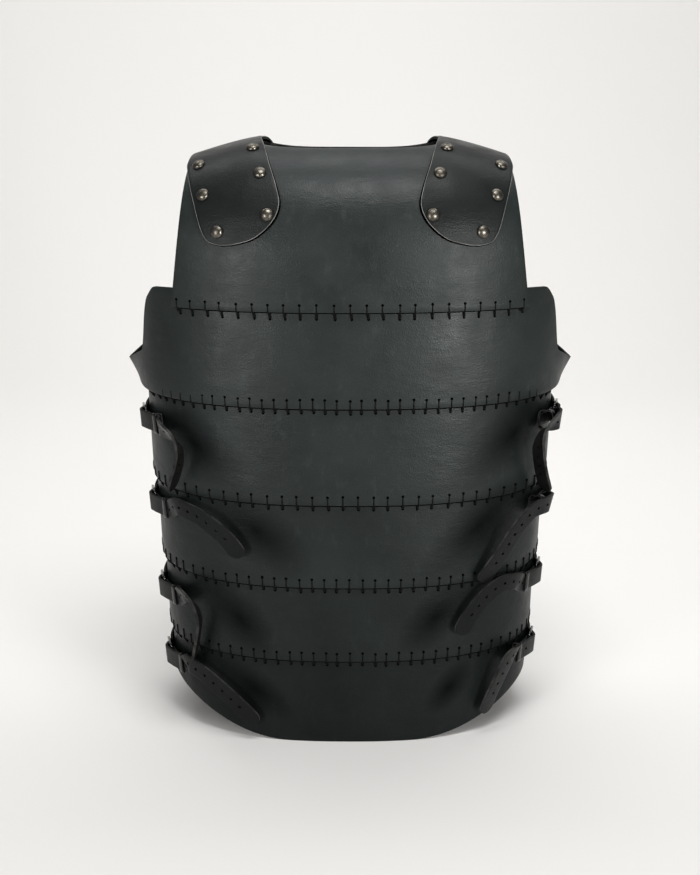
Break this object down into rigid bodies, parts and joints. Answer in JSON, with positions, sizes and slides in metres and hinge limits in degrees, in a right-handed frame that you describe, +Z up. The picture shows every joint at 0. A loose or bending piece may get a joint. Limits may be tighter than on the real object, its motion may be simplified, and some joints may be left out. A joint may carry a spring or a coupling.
{
  "type": "leather cuirass",
  "caption": "Torso armour of overlapping leather bands under a yoke, front and back, joined by riveted shoulder patches and buckled side straps.",
  "frame": {"origin": "middle of the overall box, on the level that the lower edges of the front and back plates stand on", "axes": "+Z up, -Y the way the chest faces, +X to the right of a viewer who faces the chest; left and right in the node names are the viewer's"},
  "size_m": [0.4664, 0.2636, 0.6122],
  "materials": {
    "leather": "satin",
    "patch": "satin",
    "strap": "satin",
    "buckle": "gloss",
    "rivet": "aged, domed"
  },
  "bodies": {
    "root": {"front_yoke": "leather", "front_lame_1": "leather", "front_lame_2": "leather", "front_lame_3": "leather", "front_lame_4": "leather", "front_lame_5": "leather", "back_yoke": "leather", "back_lame_1": "leather", "back_lame_2": "leather", "back_lame_3": "leather", "back_lame_4": "leather", "back_lame_5": "leather", "shoulder_patch_left": "patch", "rivet_left_1": "rivet", "rivet_left_2": "rivet", "rivet_left_3": "rivet", "rivet_left_4": "rivet", "rivet_left_5": "rivet", "rivet_left_6": "rivet", "strap_left_1": "strap", "chape_left_1": "strap", "buckle_left_1": "buckle", "keeper_left_1": "strap", "strap_left_2": "strap", "chape_left_2": "strap", "buckle_left_2": "buckle", "keeper_left_2": "strap", "strap_left_3": "strap", "chape_left_3": "strap", "buckle_left_3": "buckle", "keeper_left_3": "strap", "strap_left_4": "strap", "chape_left_4": "strap", "buckle_left_4": "buckle", "keeper_left_4": "strap", "shoulder_patch_right": "patch", "rivet_right_1": "rivet", "rivet_right_2": "rivet", "rivet_right_3": "rivet", "rivet_right_4": "rivet", "rivet_right_5": "rivet", "rivet_right_6": "rivet", "strap_right_1": "strap", "chape_right_1": "strap", "buckle_right_1": "buckle", "keeper_right_1": "strap", "strap_right_2": "strap", "chape_right_2": "strap", "buckle_right_2": "buckle", "keeper_right_2": "strap", "strap_right_3": "strap", "chape_right_3": "strap", "buckle_right_3": "buckle", "keeper_right_3": "strap", "strap_right_4": "strap", "chape_right_4": "strap", "buckle_right_4": "buckle", "keeper_right_4": "strap"}
  },
  "joints": []
}
